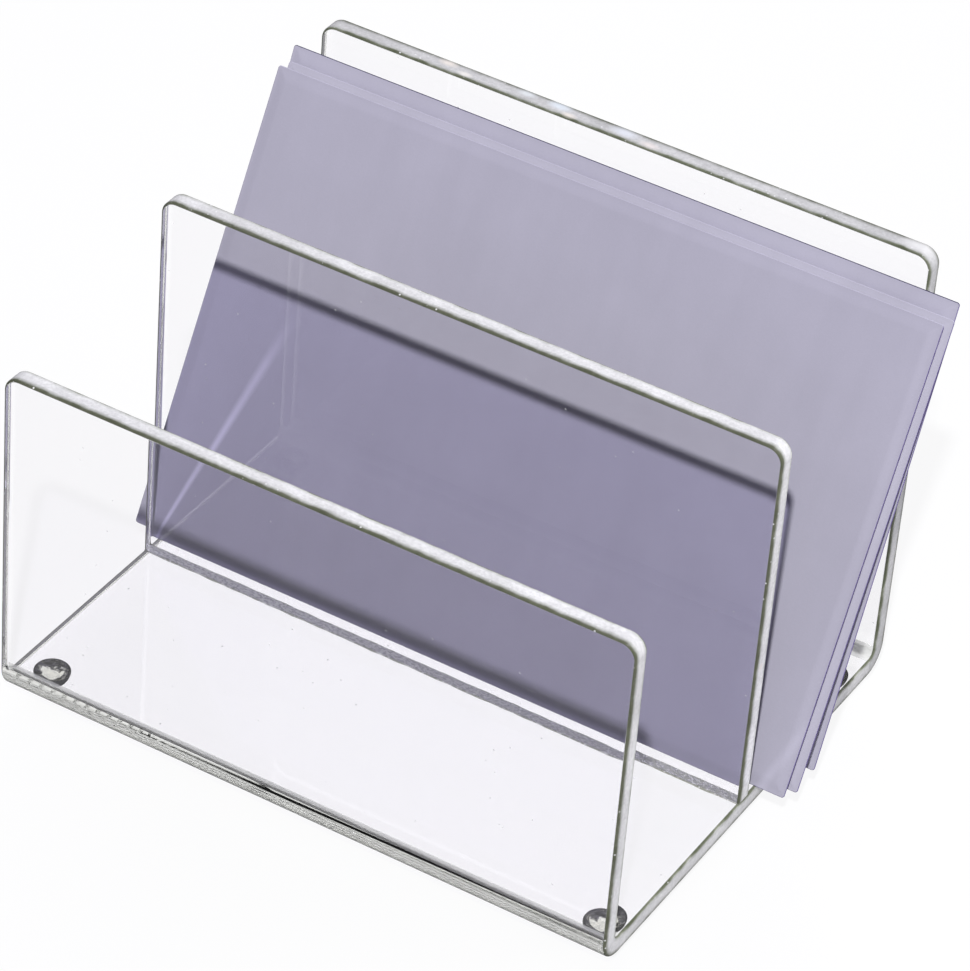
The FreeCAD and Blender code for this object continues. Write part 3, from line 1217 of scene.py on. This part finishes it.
@dataclass
class StickOnFeet:
    """Four domed feet, each held by a round adhesive pad.

    tip_crease is the share of the tip's radius at which a last ring keeps the flat tip's shading level.
    """

    reach_x: float = 93.0 * MM
    reach_y: float = 65.5 * MM
    radius: float = 5.5 * MM
    height: float = 5.0 * MM
    land: float = 0.5 * MM
    rim_radius: float = 0.25 * MM
    tip_radius: float = 1.5 * MM
    tip_crease: float = 0.985
    pad_radius: float = 5.0 * MM
    pad_ease: float = 0.04 * MM
    pad_thickness: float = 0.15 * MM
    gap: float = 0.02 * MM
    body: str = "sorter"
    foot_finish: ClearPolyurethane = field(default_factory=ClearPolyurethane)
    pad_finish: PadAdhesive = field(default_factory=PadAdhesive)

    def dome_profile(self) -> tuple[np.ndarray, np.ndarray]:
        """Radius and height of the foot's side, from the rim of its upper face to the rim of its flat tip.

        A quarter circle rounds the upper rim, a short straight land follows, and then an arc about a point on
        the axis, through the land's lower edge and the tip's edge.

        Returns:
            The radii and the heights.
        """
        rim = np.linspace(0.0, math.pi / 2, 6)
        rim_r = self.radius - self.rim_radius * (1 - np.sin(rim))
        rim_z = self.height - self.rim_radius * (1 - np.cos(rim))
        fall = self.height - self.land
        centre = (fall ** 2 + self.radius ** 2 - self.tip_radius ** 2) / (2 * fall)
        arc = math.hypot(self.tip_radius, centre)
        angle = np.linspace(math.atan2(fall - centre, self.radius), math.atan2(-centre, self.tip_radius), 28)
        tip = np.array([self.tip_crease * self.tip_radius])
        return (np.concatenate([rim_r, arc * np.cos(angle), tip]),
                np.concatenate([rim_z, centre + arc * np.sin(angle), 0 * tip]))

    def build(self) -> list[bpy.types.Object]:
        """Builds and dresses the feet and pads.

        Returns:
            The new objects.
        """
        rubber, adhesive = self.foot_finish.material(), self.pad_finish.material()
        dome_r, dome_z = self.dome_profile()
        pad_r = self.pad_radius - np.array([self.pad_ease, 0.0, 0.0, self.pad_ease])
        pad_z = np.array([self.pad_thickness - self.gap, self.pad_thickness - 1.5 * self.gap,
                          1.5 * self.gap, self.gap])
        made = []
        for corner in Corner:
            x, y = corner.value[0] * self.reach_x, corner.value[1] * self.reach_y
            foot = turned_surface(dome_r, dome_z, (x, y, 0.0)).make("domed_foot_" + corner.word)
            dress(foot, rubber, self.body, "foot_" + corner.word)
            pad = turned_surface(pad_r, pad_z, (x, y, self.height)).make("adhesive_pad_" + corner.word)
            dress(pad, adhesive, self.body, "foot_pad_" + corner.word)
            made += [foot, pad]
        return made


@dataclass
class Envelope:
    """One closed envelope with a card in it, standing on its lower fold and leaning back.

    The upper front edge is the line where the plane of its front face ends. ply_gap lies between the pocket
    and a ply on its back, and flap_gap between the back panel and the flap.
    """

    node: str
    body: str
    middle_x: float
    upper_y: float
    upper_z: float
    lean_degrees: float
    width: float = 222.0 * MM
    height: float = 144.0 * MM
    thickness: float = 1.3 * MM
    corner_radius: float = 0.9 * MM
    fold: float = 0.5 * MM
    taper: float = 4.0 * MM
    ply: float = 0.09 * MM
    ply_gap: float = 0.004 * MM
    ply_columns: int = 41
    back_panel_height: float = 106.0 * MM
    back_panel_half_low: float = 107.5 * MM
    back_panel_half_high: float = 98.0 * MM
    back_panel_corner: float = 6.0 * MM
    flap_depth: float = 62.0 * MM
    flap_half_high: float = 108.5 * MM
    flap_half_low: float = 60.0 * MM
    flap_corner: float = 9.0 * MM
    flap_gap: float = 0.01 * MM

    @property
    def path(self) -> SheetPath:
        """The line down the middle of the front face."""
        return SheetPath(self.upper_y, self.upper_z, self.height, math.radians(self.lean_degrees))

    def pocket(self) -> Surface:
        """The folded pocket, thin at its folds and filled by the card in the middle.

        Returns:
            The surface.
        """
        profile = EdgeProfile.folded(self.thickness, self.fold, self.taper)
        return SheetShape(self.path, self.middle_x, self.width, self.corner_radius, self.corner_radius,
                          profile).surface()

    def back_height(self, from_fold: np.ndarray) -> np.ndarray:
        """Height of the pocket's back above its front plane, by distance from the nearest fold.

        It rises by the smooth step of the taper from the fold's side to the full thickness.

        Args:
            from_fold: Distances from the nearest fold.

        Returns:
            The heights.
        """
        share = np.clip((from_fold - self.fold / 2) / self.taper, 0.0, 1.0)
        rise = (self.thickness - self.fold) / 2
        return self.thickness - rise * (1 - share * share * (3 - 2 * share))

    def ply_on_back(self, along: np.ndarray, half: np.ndarray, level: float) -> Surface:
        """A thin ply of paper that lies on the pocket's back.

        Row k runs across at distance along[k] from the upper edge, half[k] to either side of the middle. Its
        height follows the pocket's back, plus the level for a ply that lies on another.

        Args:
            along: Distances from the envelope's upper edge, rising.
            half: Half widths of the rows.
            level: Extra height below the ply.

        Returns:
            The surface.
        """
        share = np.linspace(-1.0, 1.0, self.ply_columns)
        aside = half[:, None] * np.sign(share) * np.abs(share) ** 0.9
        down = np.broadcast_to(along[:, None], aside.shape)
        from_fold = np.minimum(self.width / 2 - np.abs(aside), np.minimum(down, self.height - down))
        base = self.back_height(from_fold) + level
        grids = []
        for lift in (self.ply_gap, self.ply):
            y, z, _ = self.path.place(down, base + lift)
            grids.append(np.stack([self.middle_x + aside, y, z], axis=-1))
        return slab_surface(grids[0][:, ::-1], grids[1][:, ::-1])

    @staticmethod
    def rounded_rows(middle: np.ndarray, far: float, corner: float) -> tuple[np.ndarray, np.ndarray]:
        """Rows of a ply whose far corners are rounded.

        The first rows lie close together over the taper of the fold. The last ones crowd towards the far edge
        as 1 - sin t. A row that lies d beyond the start of the corner is narrower by r - sqrt(r^2 - d^2) on
        both sides.

        Args:
            middle: Rows between the taper and the corner, in millimetres and rising.
            far: The far edge.
            corner: The corner's radius r.

        Returns:
            All rows, and how much narrower each is.
        """
        plain = np.concatenate([np.linspace(0.3, 5.0, 8), middle]) * MM
        rows = np.concatenate([plain, far - corner * (1 - np.sin(np.linspace(0.05, math.pi / 2, 10)))])
        beyond = np.clip(rows - (far - corner), 0.0, corner)
        return rows, corner - np.sqrt(np.maximum(corner ** 2 - beyond ** 2, 0.0))

    def back_panel(self) -> Surface:
        """The panel folded up from the lower fold and glued over the side flaps.

        Its sides draw in evenly from the lower fold, and its upper corners are rounded.

        Returns:
            The surface.
        """
        rows, less = self.rounded_rows(np.linspace(12.0, 96.0, 8), self.back_panel_height,
                                       self.back_panel_corner)
        half = np.interp(rows, [0.0, self.back_panel_height],
                         [self.back_panel_half_low, self.back_panel_half_high]) - less
        return self.ply_on_back((self.height - rows)[::-1], half[::-1], 0.0)

    def top_flap(self) -> Surface:
        """The closed flap, folded over from the upper edge, with sloping sides and two rounded corners.

        Returns:
            The surface.
        """
        rows, less = self.rounded_rows(np.linspace(10.0, 48.0, 6), self.flap_depth, self.flap_corner)
        half = np.interp(rows, [0.0, self.flap_depth], [self.flap_half_high, self.flap_half_low]) - less
        return self.ply_on_back(rows, half, self.ply + self.flap_gap)

    def build(self, paper: bpy.types.Material) -> list[bpy.types.Object]:
        """Builds and dresses the pocket, its back panel and its flap.

        Args:
            paper: The paper.

        Returns:
            The new objects.
        """
        made = []
        for word, surface in (("pocket", self.pocket()), ("back_panel", self.back_panel()),
                              ("closed_flap", self.top_flap())):
            piece = surface.make(f"{self.node}_{word}")
            dress(piece, paper, self.body, self.node)
            made.append(piece)
        return made


@dataclass
class Studio:
    """Floor, light and camera of the photograph."""

    azimuth: float = 28.42
    elevation: float = 37.0
    roll: float = 4.86
    distance: float = 1.4255
    aim: Place = (5.95 * MM, 2.85 * MM, 76.57 * MM)
    focal_pixels: float = 4995.1
    sensor: float = 36.0
    nearest: float = 0.01
    farthest: float = 50.0
    key_place: Place = (0.667, -1.431, 1.824)
    key_aim: Place = (-0.10, 0.06, 0.14)
    key_size: float = 0.0745
    key_power: float = 21.0
    key_spread: float = 120.0
    side_place: Place = (1.10, 0.15, 0.35)
    side_size: float = 0.5
    side_power: float = 4.6
    rear_place: Place = (-0.70, 1.75, 0.60)
    rear_size: float = 1.1
    rear_power: float = 27.0
    soft_spread: float = 180.0
    ambient: float = 0.16
    ambient_tone: Colour = (0.95, 0.89, 1.36)
    white: float = 1.01
    seen_through: float = 0.945
    per_surface: float = 1.092
    mirrored: float = 0.12
    mirrored_inside: float = 0.18
    floor_shade: float = 0.12
    floor_tone: float = 0.86
    floor_bounce: float = 0.30
    floor_reach: float = 6.0

    def camera(self) -> bpy.types.Object:
        """The camera at the photograph's place.

        Returns:
            The camera object.
        """
        turn, rise = math.radians(self.azimuth), math.radians(self.elevation)
        back = Vector((math.sin(turn) * math.cos(rise), -math.cos(turn) * math.cos(rise), math.sin(rise)))
        data = bpy.data.cameras.new("photo_camera")
        data.sensor_width = self.sensor
        data.lens = self.sensor * self.focal_pixels / PHOTO_LONG_SIDE
        data.clip_start = self.nearest
        data.clip_end = self.farthest
        camera = bpy.data.objects.new("photo_camera", data)
        bpy.context.scene.collection.objects.link(camera)
        level = (-back).to_track_quat("-Z", "Y").to_matrix().to_4x4()
        tilt = Matrix.Rotation(math.radians(self.roll), 4, "Z")
        camera.matrix_world = Matrix.Translation(Vector(self.aim) + back * self.distance) @ level @ tilt
        bpy.context.scene.camera = camera
        return camera

    def background(self, graph: Graph) -> tuple[Socket, Socket]:
        """Which rays see the white background, and how bright it is to them.

        To the camera it is white. Seen through clear sheets it keeps one even level, whatever the number of
        surfaces passed. Mirrored in a surface it is darker, as a dim room is, and a ray that was mirrored once
        inside a sheet sees a level between the two. Light that has already met a matt surface never sees it,
        so it adds no light to the object.

        Args:
            graph: The graph to add to.

        Returns:
            One for rays that see it and zero for others, and its brightness.
        """
        path = graph.add("LightPath")
        camera, through = path.outputs["Is Camera Ray"], path.outputs["Is Transmission Ray"]
        seen = graph.math("MAXIMUM", graph.math("MAXIMUM", camera, path.outputs["Is Glossy Ray"]), through)
        direct = graph.math("LESS_THAN", path.outputs["Diffuse Depth"], 0.5)
        mirrored_once = graph.math("COMPARE", path.outputs["Glossy Depth"], 1.0, 0.5)
        even = graph.ramp(mirrored_once, 0.0, 1.0, self.seen_through, self.mirrored_inside)
        kept = graph.math("MULTIPLY", even,
                          graph.math("POWER", self.per_surface, path.outputs["Transmission Depth"]))
        level = graph.math("ADD", graph.math("MULTIPLY", camera, self.white),
                           graph.math("MULTIPLY", through, kept))
        glossy = graph.math("SUBTRACT", 1.0, graph.math("MAXIMUM", camera, through))
        level = graph.math("ADD", level, graph.math("MULTIPLY", glossy, self.mirrored))
        return graph.math("MULTIPLY", seen, direct), level

    def world(self) -> None:
        """A white surrounding to the eye that lights the object only softly."""
        world = bpy.data.worlds.new("studio")
        bpy.context.scene.world = world
        world.use_nodes = True
        graph = Graph(world.node_tree)
        seen, level = self.background(graph)
        shown = graph.add("Background", None, Color=(1, 1, 1, 1), Strength=level)
        fill = graph.add("Background", None, Color=(*self.ambient_tone, 1), Strength=self.ambient)
        graph.add("OutputWorld", None, Surface=graph.blend(seen, fill.outputs[0], shown.outputs[0]))

    def floor(self) -> bpy.types.Object:
        """A white floor that keeps the object's shadow.

        Returns:
            The floor object.
        """
        reach = np.array([-self.floor_reach, self.floor_reach])
        grid_y, grid_x = np.meshgrid(reach, reach, indexing="ij")
        points = np.stack([grid_x, grid_y, 0 * grid_x], axis=-1).reshape(-1, 3)
        floor = Surface(points, np.array([[0, 1, 3, 2]])).make("studio_floor")
        material, graph = new_material("studio_floor")
        seen, level = self.background(graph)
        matt = graph.add("BsdfDiffuse", None, Color=(*(self.floor_tone,) * 3, 1))
        bounce = graph.add("BsdfDiffuse", None, Color=(*(self.floor_bounce,) * 3, 1))
        white = graph.add("Emission", None, Color=(1, 1, 1, 1), Strength=level)
        shown = graph.blend(self.floor_shade, white.outputs[0], matt.outputs[0])
        graph.finish(graph.blend(seen, bounce.outputs[0], shown))
        floor.data.materials.append(material)
        return floor

    @staticmethod
    def lamp(name: str, place: Place, aim: Place, size: float, power: float, spread: float,
             mirrored: bool = False) -> None:
        """A round lamp that shines from one point towards another.

        Args:
            name: The lamp's name.
            place: Its middle.
            aim: The point that it faces.
            size: Its diameter.
            power: Its power in watts.
            spread: The full angle that it shines into, in degrees.
            mirrored: Whether polished surfaces mirror it.
        """
        data = bpy.data.lights.new(name, "AREA")
        data.shape = "DISK"
        data.size = size
        data.energy = power
        data.spread = math.radians(spread)
        made = bpy.data.objects.new(name, data)
        bpy.context.scene.collection.objects.link(made)
        made.location = Vector(place)
        made.rotation_mode = "QUATERNION"
        made.rotation_quaternion = (Vector(aim) - Vector(place)).to_track_quat("-Z", "Y")
        made.visible_camera = made.visible_transmission = False
        made.visible_glossy = mirrored

    def lamps(self) -> None:
        """The small lamp that throws the crisp edge shadows, and soft ones at the right and behind."""
        soft = self.soft_spread
        self.lamp("key", self.key_place, self.key_aim, self.key_size, self.key_power, self.key_spread, True)
        self.lamp("side", self.side_place, self.aim, self.side_size, self.side_power, soft)
        self.lamp("rear", self.rear_place, self.aim, self.rear_size, self.rear_power, soft)

    def build(self) -> None:
        """Sets up the camera, world, floor and lamps, and the view."""
        self.camera()
        self.world()
        self.floor()
        self.lamps()
        scene = bpy.context.scene
        scene.view_settings.view_transform = "Standard"
        scene.cycles.max_bounces = 32
        scene.cycles.transmission_bounces = 32
        scene.cycles.glossy_bounces = 24
        scene.cycles.transparent_max_bounces = 24
        scene.cycles.caustics_refractive = False
        scene.cycles.caustics_reflective = False


def envelopes() -> list[Envelope]:
    """The three envelopes, from the front one to the back one.

    Returns:
        The envelopes.
    """
    return [
        Envelope("envelope_front", "front_envelope", 0.0, 68.82 * MM, 139.84 * MM, 27.45),
        Envelope("envelope_middle", "middle_envelope", 2.0 * MM, 71.29 * MM, 140.75 * MM, 26.63),
        Envelope("envelope_back", "back_envelope", 1.3 * MM, 74.80 * MM, 144.41 * MM, 23.10),
    ]


def papers() -> dict[str, WritingPaper]:
    """The paper of each envelope: two pale bands of painted light in front, and painted shade on the back's
    upper fold.

    Returns:
        The papers, by the envelopes' nodes.
    """
    # Painted light where the divider's side edges throw light onto the front envelope.
    left = PaintedLightStreak(start=(-101.6 * MM, 2.2 * MM, 11.5 * MM), end=(-80.5 * MM, 37.6 * MM, 79.7 * MM),
                  start_width=0.7 * MM, end_width=2.2 * MM, start_gain=0.85, end_gain=0.22)
    right = PaintedLightStreak(start=(102.5 * MM, 1.7 * MM, 10.5 * MM), end=(116 * MM, 18.9 * MM, 43.8 * MM),
                   start_width=1.6 * MM, end_width=2.2 * MM, start_gain=0.13, end_gain=0.07)
    return {
        "envelope_front": WritingPaper("lavender_paper_front", painted_light_streaks=(left, right)),
        # The middle and back papers are lighter copies of the front one: painted light on the strips of them
        # that show.
        "envelope_middle": WritingPaper("lavender_paper_middle", tone=(0.485, 0.471, 0.553)),
        # The back envelope's upper fold is painted dark as shade.
        "envelope_back": WritingPaper("lavender_paper_back", tone=(0.462, 0.448, 0.535),
                                      painted_head_tone=(0.035, 0.03, 0.09), fold_reach=(0.17, 0.42)),
    }


def main() -> None:
    """Builds the studio, the sorter and the envelopes."""
    logging.basicConfig(level=logging.INFO, format="%(name)s: %(message)s")
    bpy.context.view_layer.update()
    Studio().build()
    made = AcrylicBody().build() + CementJoint().build() + StickOnFeet().build()
    materials = {node: paper.material() for node, paper in papers().items()}
    for envelope in envelopes():
        made += envelope.build(materials[envelope.node])
    for piece in made:
        log.info("%s: %d faces, %s", piece.name, len(piece.data.polygons), piece.data.materials[0].name)


if __name__ == "__main__":
    main()
